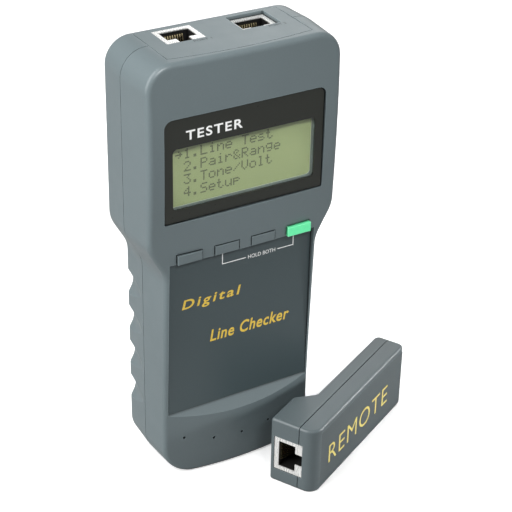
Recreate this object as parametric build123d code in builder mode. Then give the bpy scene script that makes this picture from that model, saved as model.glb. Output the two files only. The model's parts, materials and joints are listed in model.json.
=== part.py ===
from build123d import *

import math
import os

# Handheld network cable tester with its loose remote end piece, in millimetres, +Z up.
# The tester stands on its bottom end with its front facing -Y. The origin is the centre of
# that end. The remote stands beside it on the same floor, on its long edge.

# ---- Case -------------------------------------------------------------------------------
height = 185.0
head_width = 85.2
handle_width = 70.4
front_depth = 19.3          # parting plane to the foremost line of the bowed front
rear_depth = 16.1           # parting plane to the flat back
parting_y = 1.5
wall = 2.2
end_wall = 4.2              # top and bottom walls, which carry the top plate and the feet
head_draft = 1.5            # how far the front outline stands in from the widest one, each side
handle_draft = 1.3
top_draft = 0.2
rear_draft = 0.8
shoulder_drop = 75.0        # top of the case down to where the head starts to narrow
shoulder_run = 13.0         # height over which it narrows
head_corner = 10.5
foot_corner = 13.0
foot_trim = 0.3             # moulded below the floor line, then cut flat there
shoulder_corner = 13.0
front_edge = 2.0            # radius along the front's edge
rear_edge = 2.0
head_bow = 600.0            # radius of the front's bow, seen from above, at the head
chin_bow = 150.0            # and at the chin
lip_height = 1.3            # tongue of the rear shell inside the front shell
lip_wall = 0.9
fit = 0.1                   # clearance each side where two moulded pieces locate
seam = 0.15                 # visible gap each side around plates set in the case
groove_width = 0.4          # shadow line where the two shells meet
groove_depth = 0.7
screw_sink = 6.0            # back face to the seat of a case screw's head
cut_through = 40.0          # reach of a cut that leaves the case
overcut = 1.0               # how far a cut starts outside the surface it opens
hair = 0.05                 # air between pieces stacked on each other
boss_root = 0.3             # how far a boss runs into the wall that carries it
foot_screw_in = 12.5        # side of the handle to the lower case screws
foot_screw_rise = 11.5
head_screw_in = 8.5         # side of the head to the upper ones
head_screw_drop = 19.0

front_y = parting_y - front_depth
back_y = parting_y + rear_depth
shoulder_top = height - shoulder_drop
shoulder_low = shoulder_top - shoulder_run

# ---- Finger grips -----------------------------------------------------------------------
grip_count = 4
grip_first = 28.0
grip_pitch = 17.0
grip_radius = 8.0
grip_depth = 2.8            # at the back face
grip_tilt = 14.0            # degrees between a grip's axis and the case's depth

# ---- Display ----------------------------------------------------------------------------
window_width = 68.8
window_height = 42.3
window_drop = 22.2          # top of the case to the top of the window
window_corner = 3.0
window_foot_corner = 0.6
window_gap = 0.45           # between the window and its pocket, each side
border_thick = 0.3
pane_thick = 1.2
adhesive_thick = 0.15
adhesive_in = 0.5           # from the edges it lies between
ledge_thick = 1.7
view_width = 62.0
view_height = 25.5
view_drop = 34.2            # top of the case to the top of the viewing area
view_corner = 1.8
lcd_margin = 2.6            # LCD glass beyond the viewing area, each side
lcd_frame_thick = 0.5
lcd_thick = 2.2
backlight_thick = 3.0
board_thick = 1.6
lcd_board_side = 5.5        # LCD board beyond the viewing area, at each side
lcd_board_end = 7.0         # and at the top and bottom
lcd_boss_radius = 1.6
header_drop = 2.0           # top of the LCD board to the header between the boards

# ---- Front panel and buttons --------------------------------------------------------------
panel_width = 64.6
panel_gap = 0.3             # around the panel, each side
panel_bottom = 30.6
panel_thick = 0.5
panel_depth = 3.6           # foremost line of the front to the panel's face
ramp_height = 4.0
button_drop = 80.9          # top of the case to the middle of the button row
button_pitch = 16.2
button_width = 10.5
button_height = 4.0
button_gap = 0.4
button_proud = 0.3          # grey caps beyond the foremost line of the front
green_proud = 1.1
button_travel = 0.6
button_flange = 1.0
button_rim = 1.0            # flange beyond the cap, each side
button_edge = 0.25

# ---- Sound holes --------------------------------------------------------------------------
sound_pitch = 13.0
sound_low = 13.2
sound_rise = 1.15           # rise of the first hole beside the middle; it grows with the square
sound_radius = 0.65

# ---- Top plate and sockets ----------------------------------------------------------------
plate_width = 61.0
plate_front = -14.6
plate_thick = 2.0
plate_bow = 200.0
plate_gap = 0.25            # around the plate, each side
plate_sunk = 0.1            # below the top of the case
plate_ledge = 1.2
jack_width = 16.0
jack_thick = 13.0
jack_length = 15.4
jack_x = 16.0
jack_sunk = 1.5             # how far the right-hand socket sits below the plate's face
sheet = 0.4                 # tinned sheet of the socket's shield
jack_bar = 2.2              # socket's edge to the plug's cavity, on the contacts' side
plug_width = 12.2
plug_thick = 7.4
plug_depth = 13.4
latch_width = 5.2           # the latch's notch runs out through the socket's edge
contact_count = 8
contact_pitch = 1.02
contact_width = 0.45
contact_start = 1.6         # mouth to where a contact wire leaves its wall
contact_end = 8.0           # mouth to its free end
contact_reach = 2.8         # how far that end stands off the wall
contact_root = 1.5          # length of wire against the wall
wire_gap = 0.02             # between a wire and the wall

# ---- Circuit boards and inner parts -------------------------------------------------------
board_front = -1.6
main_board_height = 84.0
main_board_drop = 8.0
main_board_width = 61.0
switch_side = 6.0
switch_thick = 3.5
plunger_radius = 1.7
case_screw_radius = 1.5
case_screw_head = 2.8
boss_radius = 3.4
boss_gap = 0.5              # tongue's end to the face where the bosses meet
case_screw_bite = 6.0       # length of thread in the boss
case_screw_head_thick = 1.8
board_screw_radius = 1.0
board_screw_head = 1.9
board_screw_bite = 5.0
board_screw_head_thick = 1.3
board_screw_in = 3.5        # side of the main board to its screws
board_screw_drop = 5.0
board_screw_rise = 4.0
board_boss_radius = 2.4
lcd_screw_radius = 0.7
lcd_screw_head = 1.3
lcd_screw_bite = 3.0
lcd_screw_head_thick = 1.0
remote_screw_bite = 2.5
pilot_share = 0.8           # depth of a screw's blind hole as a share of its boss
recess_width = 0.5          # of the cross in a screw's head
recess_depth = 0.7
recess_share = 1.2          # length of the cross as a share of the head's radius
thread_play = 0.15
screw_edge = 0.3
slack = 0.3                 # air between inner pieces that don't touch
header_pins = 16
pin_pitch = 2.54
chip_thick = 1.6
processor_side = 14.0
driver_x = 18.0
driver_width = 7.5
driver_height = 10.3
driver_thick = 2.3
crystal_length = 11.0
crystal_width = 4.6
crystal_thick = 3.5
capacitor_x = -20.0
capacitor_radius = 4.0
capacitor_length = 9.0
parts_drop = 14.0           # middle of the display to the crystal and the capacitor
lead_radius = 0.6
lead_room = 2.5             # battery bay to the middle of the leads
lead_in = 5.0               # foot of the board to where leads are soldered
buzzer_radius = 6.0
buzzer_thick = 5.0
buzzer_mouth = 1.2
buzzer_step = 1.0           # full base behind the drilled cup
buzzer_z = 15.5

# ---- Batteries ----------------------------------------------------------------------------
cell_radius = 7.25
cell_length = 50.5
cell_gap = 0.6
cell_count = 4
bay_bottom = 24.0
bay_front = -0.2
bay_wall = 1.5
contact_room = 2.8          # each end of the cells, for springs and plates
cover_thick = 2.0
cover_step = 1.0            # ledge around the bay that the cover rests on
cover_corner = 2.0
thumb_groove = 0.5
thumb_grooves = 4
thumb_pitch = 2.4
thumb_length = 20.0
thumb_width = 1.1
thumb_drop = 9.0            # top of the cover to the middle of its grooves
cover_bevel = 0.3
cell_nub = 1.0
nub_radius = 2.75
cell_edge = 0.6
contact_plate = 0.4
contact_plate_width = 10.0
contact_plate_height = 11.0
dimple_radius = 3.5
dimple_taper = 15.0
spring_wire = 0.3
spring_pitch = 0.85
spring_turns = 1.6
spring_radius = 3.2

# ---- Remote end piece ---------------------------------------------------------------------
remote_length = 78.0
remote_height = 31.0
remote_thick_end = 21.0
remote_thin_end = 13.7
remote_thick_run = 17.7
remote_ramp = 7.3
remote_parting = 7.6
remote_wall = 1.6
remote_corner = 5.0
remote_far_corner = 2.5
remote_slope_corner = 3.0
remote_near_corner = 1.0
remote_edge = 1.2
remote_label_depth = 0.5
remote_label_rim = 1.0      # beside the label at the far end and below it
remote_label_drop = 2.8     # above it
remote_label_gap = 0.2
remote_label_corner = 0.5
remote_jack_rise = 14.5     # floor to the middle of the socket
remote_jack_back = 1.8      # back face to the socket
remote_jack_sunk = 0.3
remote_boss_radius = 2.2
remote_board_clear = 2.5    # wall to the board, at each end
remote_board_shift = 1.5    # board's middle from the remote's, away from the socket
remote_board_side = 2.0     # wall to the board, above and below
remote_chip_length = 10.0
remote_chip_height = 6.0
remote_chip_shift = 8.0
remote_screw_after = 6.0    # end of the slope to the first screw
remote_screw_before = 8.0   # second screw to the far end
remote_screw_sink = 3.0
remote_x = 12.7
remote_y = -54.7
remote_turn = 28.0          # degrees about +Z

os.makedirs("parts", exist_ok=True)


def save(piece, name):
    """Label a finished piece and write it as its own STEP file."""
    piece.part.label = name
    export_step(piece.part, f"parts/{name}.step")


def front_plane(y):
    """Plane facing the viewer at depth y, with local x along +X and local y along +Z."""
    return Plane.XZ.offset(-y)


def rear_plane(y):
    """The same plane facing backwards, for extrusions towards +Y. Local x is along -X."""
    return Plane(origin=(0, y, 0), x_dir=(-1, 0, 0), z_dir=(0, 1, 0))


def case_outline(head_in=0.0, handle_in=0.0, top_in=0.0, foot_in=0.0):
    """Front view of the case, drawn in by the given amounts."""
    head = head_width / 2 - head_in
    handle = handle_width / 2 - handle_in
    right = [
        (handle, foot_in),
        (handle, shoulder_low),
        (head, shoulder_top),
        (head, height - top_in),
    ]
    left = [(-x, z) for x, z in reversed(right)]
    radii = [foot_corner, shoulder_corner, shoulder_corner, head_corner]
    with BuildSketch() as outline:
        with BuildLine():
            FilletPolyline(*right, *left, radius=radii + radii[::-1], close=True)
        make_face()
    return outline.sketch


def window_outline(extra=0.0):
    """The window's plate in the front view: round at the top, nearly square at the bottom."""
    with BuildSketch() as outline:
        with Locations((0, window_z)):
            Rectangle(window_width + 2 * extra, window_height + 2 * extra)
        corners = outline.vertices().group_by(Axis.Y)
        fillet(corners[-1], window_corner + extra)
        fillet(outline.vertices().group_by(Axis.Y)[0], window_foot_corner)
    return outline.sketch


def view_outline(extra=0.0):
    """The opening that shows the LCD, in the front view."""
    with BuildSketch() as outline:
        with Locations((0, view_z)):
            RectangleRounded(view_width + 2 * extra, view_height + 2 * extra, view_corner)
    return outline.sketch


def plate_outline(extra=0.0):
    """The top plate seen from above: a rectangle whose front side is bowed."""
    half = plate_width / 2 + extra
    sag = plate_bow - math.sqrt(plate_bow**2 - half**2)
    front = plate_front - extra
    back = plate_back + extra
    with BuildSketch() as outline:
        with BuildLine():
            ThreePointArc((-half, front + sag), (0, front), (half, front + sag))
            Polyline((half, front + sag), (half, back), (-half, back), (-half, front + sag))
        make_face()
    return outline.sketch


def plug_outline(extra=0.0):
    """Mouth of a socket: the plug's rectangle, and the latch's notch out through the edge."""
    reach = jack_thick / 2 + plug_y + fit
    with BuildSketch() as outline:
        Rectangle(plug_width + 2 * extra, plug_thick + 2 * extra)
        with Locations((0, -reach / 2)):
            Rectangle(latch_width + 2 * extra, reach)
    return outline.sketch


def bow_outline(radius):
    """Everything in front of an arc of the given radius that bulges to the front line."""
    reach = head_width * 0.7
    sag = radius - math.sqrt(radius**2 - reach**2)
    far = front_y - cut_through
    with BuildSketch() as outline:
        with BuildLine():
            ThreePointArc((-reach, front_y + sag), (0, front_y), (reach, front_y + sag))
            Polyline((reach, front_y + sag), (reach, far), (-reach, far), (-reach, front_y + sag))
        make_face()
    return outline.sketch


def bow_y(x, radius):
    """Depth of the bowed front at a distance x from the middle."""
    return front_y + radius - math.sqrt(radius**2 - x**2)


# ---- Values worked out from the sizes above -----------------------------------------------
window_face = bow_y(window_width / 2, head_bow) + hair
pane_front = window_face + border_thick
pane_back = pane_front + pane_thick
ledge_front = pane_back + adhesive_thick
ledge_back = ledge_front + ledge_thick
lcd_frame_front = ledge_back + fit
lcd_front = lcd_frame_front + lcd_frame_thick + hair
backlight_front = lcd_front + lcd_thick + hair
lcd_board_front = backlight_front + backlight_thick + hair
lcd_board_back = lcd_board_front + board_thick
board_back = board_front + board_thick
window_top = height - window_drop
window_z = window_top - window_height / 2
view_z = height - view_drop - view_height / 2
panel_face = front_y + panel_depth
panel_floor = panel_face + panel_thick
ramp_start = front_y - overcut
button_z = height - button_drop
panel_top = button_z - button_height / 2 - fit
handle_inner_y = panel_floor + wall
cap_back = handle_inner_y + fit
flange_back = cap_back + button_flange
plate_top = height - plate_sunk
plate_back = board_back + jack_thick + slack + plate_ledge
bay_height = cell_count * (2 * cell_radius + cell_gap) + cell_gap
bay_width = cell_length + 2 * contact_room
bay_z = bay_bottom + bay_height / 2
cover_face = back_y
cover_inner = cover_face - cover_thick
main_board_top = height - main_board_drop
main_board_z = main_board_top - main_board_height / 2
board_foot = main_board_top - main_board_height
button_places = [(i - 1.5) * button_pitch for i in range(4)]
boss_places = [
    (handle_width / 2 - foot_screw_in, foot_screw_rise),
    (-(handle_width / 2 - foot_screw_in), foot_screw_rise),
    (head_width / 2 - head_screw_in, height - head_screw_drop),
    (-(head_width / 2 - head_screw_in), height - head_screw_drop),
]

bow_levels = [
    (-overcut, chin_bow),
    (panel_bottom, chin_bow),
    (shoulder_top, head_bow),
    (height + overcut, head_bow),
]
lcd_board_width = view_width + 2 * lcd_board_side
lcd_board_height = view_height + 2 * lcd_board_end
board_screws = [
    (x * (main_board_width / 2 - board_screw_in), z)
    for x in (-1, 1)
    for z in (main_board_top - board_screw_drop, board_foot + board_screw_rise)
]
lcd_screws = [
    (x * view_width * 0.45, view_z + z * (lcd_board_height / 2 - lcd_boss_radius - slack))
    for x in (-1, 1)
    for z in (-1, 1)
]
boss_face = parting_y - lip_height - boss_gap
cell_y = bay_front + cell_radius + fit
cell_levels = [
    bay_bottom + cell_gap + cell_radius + i * (2 * cell_radius + cell_gap) for i in range(cell_count)
]
jack_y = board_back + jack_thick / 2
plug_y = jack_thick / 2 - jack_bar - plug_thick / 2
cover_width = bay_width + 2 * cover_step
cover_height = bay_height + 2 * cover_step
lcd_width = view_width + 2 * lcd_margin
lcd_height = view_height + 2 * lcd_margin
stem_end = board_front - switch_thick - button_travel - fit
buzzer_back = handle_inner_y + slack + buzzer_thick
jack_mouths = {"left": (-jack_x, plate_top), "right": (jack_x, plate_top - jack_sunk)}

# ---- Front shell --------------------------------------------------------------------------
with BuildPart() as front_shell:
    with BuildSketch(front_plane(parting_y)):
        add(case_outline(foot_in=-foot_trim))
    with BuildSketch(front_plane(front_y - 2 * overcut)):
        add(case_outline(head_draft, handle_draft, top_draft, -foot_trim))
    loft(ruled=True)
    for level, bow in bow_levels:
        with BuildSketch(Plane.XY.offset(level)):
            add(bow_outline(bow))
    loft(mode=Mode.SUBTRACT)
    fillet(front_shell.faces().sort_by(Axis.Y)[0].outer_wire().edges(), front_edge)
    split(bisect_by=Plane.XY)
    # Cavity behind the panel, then the deeper one behind the display.
    with BuildSketch(front_plane(parting_y)):
        add(case_outline(wall, wall, end_wall, wall))
    with BuildSketch(front_plane(handle_inner_y)):
        add(case_outline(wall + head_draft, wall + handle_draft, end_wall, wall))
    loft(ruled=True, mode=Mode.SUBTRACT)
    with BuildSketch(front_plane(handle_inner_y)):
        with Locations((0, view_z)):
            Rectangle(lcd_board_width + 2 * slack, lcd_board_height + 2 * slack)
    extrude(amount=handle_inner_y - ledge_back, mode=Mode.SUBTRACT)
    # Step that takes the rear shell's tongue.
    with BuildSketch(front_plane(parting_y)):
        add(case_outline(*[wall - lip_wall - fit] * 4))
    extrude(amount=lip_height + fit, mode=Mode.SUBTRACT)
    # Pocket and opening for the window.
    with BuildSketch(front_plane(ledge_front)):
        add(window_outline(window_gap))
    extrude(amount=cut_through, mode=Mode.SUBTRACT)
    with BuildSketch(front_plane(ledge_back)):
        add(view_outline())
    extrude(amount=cut_through, mode=Mode.SUBTRACT)
    # Recess for the printed panel, with the ramp that rises to the chin.
    with BuildSketch(Plane.YZ):
        with BuildLine():
            Polyline(
                (panel_floor, panel_top),
                (panel_floor, panel_bottom),
                (ramp_start, panel_bottom - ramp_height * (panel_floor - ramp_start) / panel_depth),
                (ramp_start, panel_top),
                close=True,
            )
        make_face()
    extrude(amount=panel_width / 2 + panel_gap, both=True, mode=Mode.SUBTRACT)
    # Slots for the four buttons.
    with BuildSketch(front_plane(handle_inner_y + overcut)):
        with Locations(*[(x, button_z) for x in button_places]):
            Rectangle(button_width + 2 * button_gap, button_height + 2 * button_gap)
    extrude(amount=cut_through, mode=Mode.SUBTRACT)
    # Sound holes through the chin.
    with BuildSketch(front_plane(handle_inner_y + overcut)):
        with Locations(*[(i * sound_pitch, sound_low + sound_rise * i**2) for i in range(-2, 3)]):
            Circle(sound_radius)
    extrude(amount=cut_through, mode=Mode.SUBTRACT)
    # Seat and opening for the top plate.
    with BuildSketch(Plane.XY.offset(plate_top - plate_thick)):
        add(plate_outline(plate_gap))
    extrude(amount=cut_through, mode=Mode.SUBTRACT)
    with BuildSketch(Plane.XY.offset(height - end_wall - overcut)):
        add(plate_outline(-plate_ledge))
    extrude(amount=end_wall, mode=Mode.SUBTRACT)
    # Bosses for the case screws, each with a blind pilot hole.
    for places, radius, start, end, pilot in (
        (boss_places, boss_radius, boss_face, handle_inner_y, case_screw_radius),
        (board_screws, board_boss_radius, board_front, handle_inner_y, board_screw_radius),
        (lcd_screws, lcd_boss_radius, lcd_board_front, ledge_back, lcd_screw_radius),
    ):
        with BuildSketch(front_plane(start)):
            with Locations(*places):
                Circle(radius)
        extrude(amount=start - end + boss_root)
        with BuildSketch(front_plane(start)):
            with Locations(*places):
                Circle(pilot)
        extrude(amount=(start - end) * pilot_share, mode=Mode.SUBTRACT)
save(front_shell, "front_shell")

# ---- Rear shell ---------------------------------------------------------------------------
with BuildPart() as rear_shell:
    with BuildSketch(rear_plane(parting_y)):
        add(case_outline(foot_in=-foot_trim))
    with BuildSketch(rear_plane(back_y)):
        add(case_outline(rear_draft, rear_draft, top_draft, -foot_trim))
    loft(ruled=True)
    fillet(rear_shell.faces().sort_by(Axis.Y)[-1].outer_wire().edges(), rear_edge)
    split(bisect_by=Plane.XY)
    # Shadow line along the front shell.
    with BuildSketch(rear_plane(parting_y)):
        add(case_outline(*[-overcut] * 4))
        add(case_outline(*[groove_depth] * 4), mode=Mode.SUBTRACT)
    extrude(amount=groove_width, mode=Mode.SUBTRACT)
    # Finger grips: slanted round grooves that deepen towards the back.
    for side in (-1, 1):
        slant = math.radians(grip_tilt)
        along = Vector(-side * math.sin(slant), math.cos(slant), 0)
        mouth = Vector(side * (handle_width / 2 - rear_draft - grip_depth), back_y, 0)
        middle = mouth + Vector(side * math.cos(slant), math.sin(slant), 0) * grip_radius
        for i in range(grip_count):
            level = grip_first + i * grip_pitch
            with BuildSketch(Plane(origin=(middle.X, middle.Y, level), x_dir=(0, 0, 1), z_dir=along)):
                Circle(grip_radius)
            extrude(amount=2 * rear_depth, both=True, mode=Mode.SUBTRACT)
    # Cavity. It keeps clear of the grips, and the battery bay is built back into it.
    with BuildSketch(rear_plane(parting_y)):
        add(case_outline(wall, wall, end_wall, wall))
    with BuildSketch(rear_plane(back_y - wall)):
        add(case_outline(wall + rear_draft, wall + rear_draft + grip_depth, end_wall, wall))
    loft(ruled=True, mode=Mode.SUBTRACT)
    with BuildSketch(rear_plane(bay_front - bay_wall)):
        with Locations((0, bay_z)):
            Rectangle(bay_width + 2 * bay_wall, bay_height + 2 * bay_wall)
    extrude(amount=back_y - wall - bay_front + bay_wall + fit)
    with BuildSketch(rear_plane(bay_front)):
        with Locations((0, bay_z)):
            Rectangle(bay_width, bay_height)
    extrude(amount=cut_through, mode=Mode.SUBTRACT)
    with BuildSketch(rear_plane(cover_inner)):
        with Locations((0, bay_z)):
            RectangleRounded(cover_width + 2 * seam, cover_height + 2 * seam, cover_corner)
    extrude(amount=cut_through, mode=Mode.SUBTRACT)
    # Tongue that locates in the front shell.
    with BuildSketch(front_plane(parting_y)):
        add(case_outline(*[wall - lip_wall] * 4))
        add(case_outline(*[wall] * 4), mode=Mode.SUBTRACT)
    extrude(amount=lip_height)
    # Columns for the case screws, sunk for their heads.
    with BuildSketch(rear_plane(boss_face + hair)):
        with Locations(*[(-x, z) for x, z in boss_places]):
            Circle(boss_radius)
    extrude(amount=back_y - wall - boss_face)
    with BuildSketch(rear_plane(boss_face)):
        with Locations(*[(-x, z) for x, z in boss_places]):
            Circle(case_screw_radius + fit)
    extrude(amount=cut_through, mode=Mode.SUBTRACT)
    with BuildSketch(rear_plane(back_y - screw_sink)):
        with Locations(*[(-x, z) for x, z in boss_places]):
            Circle(case_screw_head + 2 * fit)
    extrude(amount=cut_through, mode=Mode.SUBTRACT)
    # Seat and opening for the top plate.
    with BuildSketch(Plane.XY.offset(plate_top - plate_thick)):
        add(plate_outline(plate_gap))
    extrude(amount=cut_through, mode=Mode.SUBTRACT)
    with BuildSketch(Plane.XY.offset(height - end_wall - overcut)):
        add(plate_outline(-plate_ledge))
    extrude(amount=end_wall, mode=Mode.SUBTRACT)
save(rear_shell, "rear_shell")

# ---- Top plate ----------------------------------------------------------------------------
with BuildPart() as top_plate:
    with BuildSketch(Plane.XY.offset(plate_top - plate_thick)):
        add(plate_outline())
    extrude(amount=plate_thick)
    with BuildSketch(Plane.XY.offset(plate_top - plate_thick)):
        with Locations((-jack_x, jack_y)):
            Rectangle(jack_width + 2 * seam, jack_thick + 2 * seam)
        with Locations((jack_x, jack_y)):
            Rectangle(jack_width + 4 * seam, jack_thick + 4 * seam)
    extrude(amount=plate_thick, mode=Mode.SUBTRACT)
save(top_plate, "top_plate")

# ---- Battery cover ------------------------------------------------------------------------
with BuildPart() as battery_cover:
    with BuildSketch(rear_plane(cover_inner)):
        with Locations((0, bay_z)):
            RectangleRounded(cover_width, cover_height, cover_corner)
    extrude(amount=cover_thick)
    chamfer(battery_cover.faces().sort_by(Axis.Y)[-1].outer_wire().edges(), cover_bevel)
    # Grooves for the thumb near the top edge.
    with BuildSketch(rear_plane(back_y - thumb_groove)):
        with Locations((0, bay_z + cover_height / 2 - thumb_drop)):
            with GridLocations(0, thumb_pitch, 1, thumb_grooves):
                SlotOverall(thumb_length, thumb_width)
    extrude(amount=thumb_groove, mode=Mode.SUBTRACT)
save(battery_cover, "battery_cover")

# ---- Window and display -------------------------------------------------------------------
with BuildPart() as window_border:
    with BuildSketch(front_plane(pane_front)):
        add(window_outline())
        add(view_outline(-fit), mode=Mode.SUBTRACT)
    extrude(amount=border_thick)
save(window_border, "window_border")

with BuildPart() as display_window:
    with BuildSketch(front_plane(pane_back)):
        add(window_outline())
    extrude(amount=pane_thick)
save(display_window, "display_window")

with BuildPart() as window_adhesive:
    with BuildSketch(front_plane(ledge_front)):
        add(window_outline(-adhesive_in))
        add(view_outline(adhesive_in), mode=Mode.SUBTRACT)
    extrude(amount=adhesive_thick)
save(window_adhesive, "window_adhesive")

with BuildPart() as lcd_frame:
    with BuildSketch(front_plane(lcd_board_front)):
        with Locations((0, view_z)):
            Rectangle(lcd_width + 2 * lcd_frame_thick, lcd_height + 2 * lcd_frame_thick)
    extrude(amount=lcd_board_front - lcd_frame_front)
    with BuildSketch(front_plane(lcd_board_front)):
        with Locations((0, view_z)):
            Rectangle(lcd_width + fit, lcd_height + fit)
    extrude(amount=lcd_board_front - lcd_frame_front - lcd_frame_thick, mode=Mode.SUBTRACT)
    with BuildSketch(front_plane(lcd_board_front)):
        add(view_outline(2 * fit))
    extrude(amount=cut_through, mode=Mode.SUBTRACT)
save(lcd_frame, "lcd_frame")


def plate_at(front, thick, width, tall, z):
    """Flat rectangular piece facing the viewer: its front depth, thickness, size and level."""
    with BuildPart() as flat:
        with BuildSketch(front_plane(front + thick)):
            with Locations((0, z)):
                Rectangle(width, tall)
        extrude(amount=thick)
    return flat


save(plate_at(lcd_front, lcd_thick, lcd_width, lcd_height, view_z), "lcd_glass")
save(plate_at(backlight_front, backlight_thick, lcd_width, lcd_height, view_z), "lcd_backlight")

with BuildPart() as lcd_board:
    with BuildSketch(front_plane(lcd_board_back)):
        with Locations((0, view_z)):
            Rectangle(lcd_board_width, lcd_board_height)
        with Locations(*lcd_screws):
            Circle(lcd_screw_radius + fit, mode=Mode.SUBTRACT)
    extrude(amount=board_thick)
save(lcd_board, "lcd_board")

with BuildPart() as lcd_header:
    header_z = view_z + lcd_board_height / 2 - header_drop
    with BuildSketch(front_plane(board_front)):
        with Locations((0, header_z)):
            Rectangle(header_pins * pin_pitch, pin_pitch)
    extrude(amount=board_front - lcd_board_back)
save(lcd_header, "lcd_header")

# ---- Printed panel ------------------------------------------------------------------------
with BuildPart() as front_panel:
    with BuildSketch(front_plane(panel_floor)):
        with Locations((0, (panel_top + panel_bottom) / 2)):
            Rectangle(panel_width, panel_top - panel_bottom - 2 * panel_gap)
    extrude(amount=panel_thick)
save(front_panel, "front_panel")

# ---- Buttons, each with its switch -------------------------------------------------------
for number, x in enumerate(button_places, start=1):
    green = number == len(button_places)
    proud = green_proud if green else button_proud
    cap_front = front_y - proud
    with BuildPart() as cap:
        with BuildSketch(front_plane(cap_back)):
            with Locations((x, button_z)):
                Rectangle(button_width, button_height)
        extrude(amount=cap_back - cap_front)
        fillet(cap.faces().sort_by(Axis.Y)[0].edges(), button_edge)
        with BuildSketch(front_plane(flange_back)):
            with Locations((x, button_z)):
                Rectangle(button_width + 2 * button_rim, button_height + 2 * button_rim)
        extrude(amount=button_flange)
        with BuildSketch(front_plane(stem_end)):
            with Locations((x, button_z)):
                Circle(plunger_radius)
        extrude(amount=stem_end - flange_back)
    save(cap, "green_button" if green else f"grey_button_{number}")

    with BuildPart() as body:
        with BuildSketch(front_plane(board_front)):
            with Locations((x, button_z)):
                Rectangle(switch_side, switch_side)
        extrude(amount=switch_thick)
        with BuildSketch(front_plane(board_front)):
            with Locations((x, button_z)):
                Circle(plunger_radius + fit)
        extrude(amount=switch_thick, mode=Mode.SUBTRACT)
    save(body, f"switch_body_{number}")

    with BuildPart() as plunger:
        with BuildSketch(front_plane(board_front - button_travel - fit)):
            with Locations((x, button_z)):
                Circle(plunger_radius)
        extrude(amount=board_front - button_travel - fit - stem_end)
    save(plunger, f"switch_plunger_{number}")


def save_jack(mouth, name):
    """Shielded eight-contact socket. The mouth plane's local y points to the contacts."""
    inner = Plane(origin=mouth.origin - mouth.z_dir * sheet, x_dir=mouth.x_dir, z_dir=mouth.z_dir)
    with BuildPart() as shield:
        with BuildSketch(mouth):
            Rectangle(jack_width, jack_thick)
        extrude(amount=-jack_length)
        with BuildSketch(inner):
            Rectangle(jack_width - 2 * sheet, jack_thick - 2 * sheet)
        extrude(amount=-jack_length, mode=Mode.SUBTRACT)
        with BuildSketch(mouth):
            with Locations((0, plug_y)):
                add(plug_outline(seam))
        extrude(amount=-jack_length, mode=Mode.SUBTRACT)
    save(shield, f"{name}_shield")

    with BuildPart() as insert:
        with BuildSketch(inner):
            Rectangle(jack_width - 2 * sheet - fit, jack_thick - 2 * sheet - fit)
        extrude(amount=-(jack_length - sheet))
        with BuildSketch(inner):
            with Locations((0, plug_y)):
                add(plug_outline())
        extrude(amount=-plug_depth, mode=Mode.SUBTRACT)
    save(insert, f"{name}_insert")

    # Contact wires: each slants out of the wall of the cavity towards the plug.
    wall_y = plug_y + plug_thick / 2
    with BuildPart() as contacts:
        across = Plane(origin=mouth.origin, x_dir=-mouth.z_dir, z_dir=mouth.x_dir)
        sign = 1 if across.y_dir.dot(mouth.y_dir) > 0 else -1
        for i in range(contact_count):
            shift = (i - (contact_count - 1) / 2) * contact_pitch - contact_width / 2
            wire_plane = across.offset(shift)
            with BuildSketch(wire_plane):
                with BuildLine():
                    Polyline(
                        (contact_start, sign * (wall_y - wire_gap)),
                        (contact_start, sign * (wall_y - contact_width)),
                        (contact_end, sign * (wall_y - contact_reach)),
                        (contact_end, sign * (wall_y - contact_reach + contact_width)),
                        (contact_start + contact_root, sign * (wall_y - wire_gap)),
                        close=True,
                    )
                make_face()
            extrude(amount=contact_width)
    save(contacts, f"{name}_contacts")


for side, (x, level) in jack_mouths.items():
    save_jack(Plane(origin=(x, jack_y, level), x_dir=(1, 0, 0), z_dir=(0, 0, 1)), f"{side}_jack")

# ---- Main board and what it carries -------------------------------------------------------
with BuildPart() as main_board:
    with BuildSketch(front_plane(board_back)):
        with Locations((0, main_board_z)):
            Rectangle(main_board_width, main_board_height)
        with Locations(*board_screws):
            Circle(board_screw_radius + fit, mode=Mode.SUBTRACT)
    extrude(amount=board_thick)
save(main_board, "main_board")

with BuildPart() as processor:
    with BuildSketch(rear_plane(board_back)):
        with Locations((0, view_z)):
            Rectangle(processor_side, processor_side)
    extrude(amount=chip_thick)
save(processor, "processor")

with BuildPart() as line_driver:
    with BuildSketch(rear_plane(board_back)):
        with Locations((driver_x, view_z)):
            Rectangle(driver_width, driver_height)
    extrude(amount=driver_thick)
save(line_driver, "line_driver")

with BuildPart() as crystal:
    with BuildSketch(rear_plane(board_back)):
        with Locations((0, view_z - parts_drop)):
            SlotOverall(crystal_length, crystal_width)
    extrude(amount=crystal_thick)
save(crystal, "crystal")

with BuildPart() as capacitor:
    with BuildSketch(rear_plane(board_back)):
        with Locations((capacitor_x, view_z - parts_drop)):
            Circle(capacitor_radius)
    extrude(amount=capacitor_length)
save(capacitor, "capacitor")

with BuildPart() as buzzer:
    with BuildSketch(front_plane(buzzer_back)):
        with Locations((0, buzzer_z)):
            Circle(buzzer_radius)
    extrude(amount=buzzer_thick)
    with BuildSketch(front_plane(buzzer_back)):
        with Locations((0, buzzer_z)):
            Circle(buzzer_mouth)
    extrude(amount=cut_through, mode=Mode.SUBTRACT)
    with BuildSketch(front_plane(buzzer_back)):
        with Locations((0, buzzer_z)):
            Circle(buzzer_radius)
    extrude(amount=buzzer_step)
save(buzzer, "buzzer")

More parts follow.
